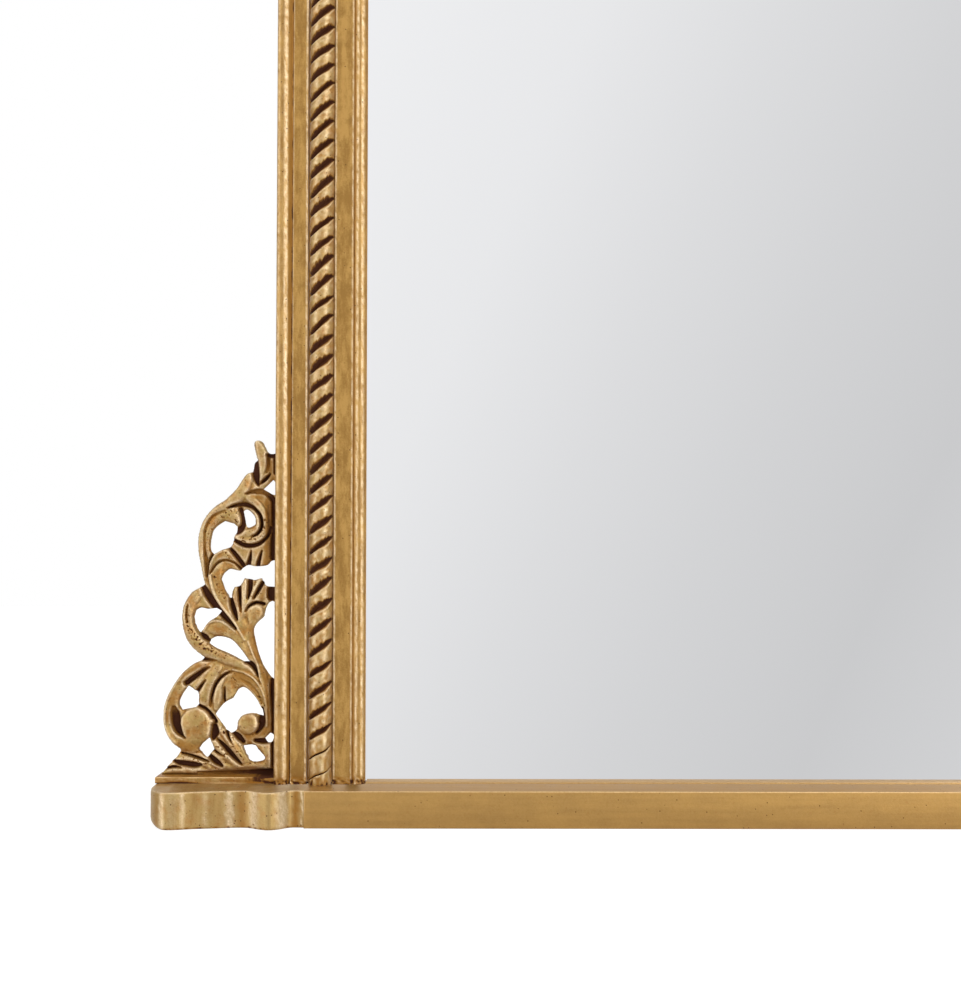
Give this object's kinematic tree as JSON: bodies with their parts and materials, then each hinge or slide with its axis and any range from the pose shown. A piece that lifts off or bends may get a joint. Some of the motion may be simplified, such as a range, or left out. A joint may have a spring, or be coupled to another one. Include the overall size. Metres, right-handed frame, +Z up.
{
  "type": "arched floor mirror",
  "caption": "Tall arched mirror in a moulded giltwood frame with a rope twist, pierced carved ears beside its foot and a serpentine-ended shelf base.",
  "frame": {"origin": "middle of the base's footprint, on the surface that the mirror stands on", "axes": "+X to the right seen from the front, the glass looks along -Y, +Z up"},
  "size_m": [1.256, 0.097, 1.83],
  "materials": {
    "gilt_moulding": "gold leaf over red-brown bole and gesso, rubbed and toned",
    "gilt_carving": "gold leaf over gesso with dark brown glaze left in the recesses",
    "silvered_glass": "plain silvered glass, flat, polished",
    "backing_panel": "raw fibreboard, smooth",
    "bare_wood": "sawn and sanded hardwood, unfinished",
    "plated_steel": "zinc plated, dull",
    "rubber": "matt moulded rubber"
  },
  "bodies": {
    "mirror": {"base_rail": "gilt_moulding", "base_end_left": "gilt_moulding", "base_end_right": "gilt_moulding", "upright_left": "gilt_moulding", "upright_right": "gilt_moulding", "arch_left": "gilt_moulding", "arch_right": "gilt_moulding", "rope_left": "gilt_carving", "rope_right": "gilt_carving", "rope_arch_left": "gilt_carving", "rope_arch_right": "gilt_carving", "sight_sill": "gilt_moulding", "carving_plinth_left": "gilt_moulding", "carving_plinth_right": "gilt_moulding", "carving_left": "gilt_carving", "carving_right": "gilt_carving", "mirror_glass": "silvered_glass", "backing_board": "backing_panel", "setting_blocks": "rubber", "edge_packers": "rubber", "backing_screws": "plated_steel", "frame_dowels": "bare_wood", "end_block_dowels": "bare_wood", "base_screws": "plated_steel", "joint_plates": "plated_steel", "joint_plate_screws": "plated_steel", "carving_pins": "plated_steel", "hanger_strap_left": "plated_steel", "hanger_strap_right": "plated_steel", "hanger_screws": "plated_steel", "wall_bumper_left": "rubber", "wall_bumper_right": "rubber", "bumper_screws": "plated_steel"},
    "left_ring": {"hanger_ring_left": "plated_steel"},
    "right_ring": {"hanger_ring_right": "plated_steel"}
  },
  "joints": [
    {"name": "left_ring_hinge", "type": "hinge", "parent": "mirror", "child": "left_ring", "pos_m": [-0.477, 0.0365, 1.18], "axis": [1, 0, 0], "range_deg": [0, 175]},
    {"name": "right_ring_hinge", "type": "hinge", "parent": "mirror", "child": "right_ring", "pos_m": [0.477, 0.0365, 1.18], "axis": [1, 0, 0], "range_deg": [0, 175]}
  ]
}
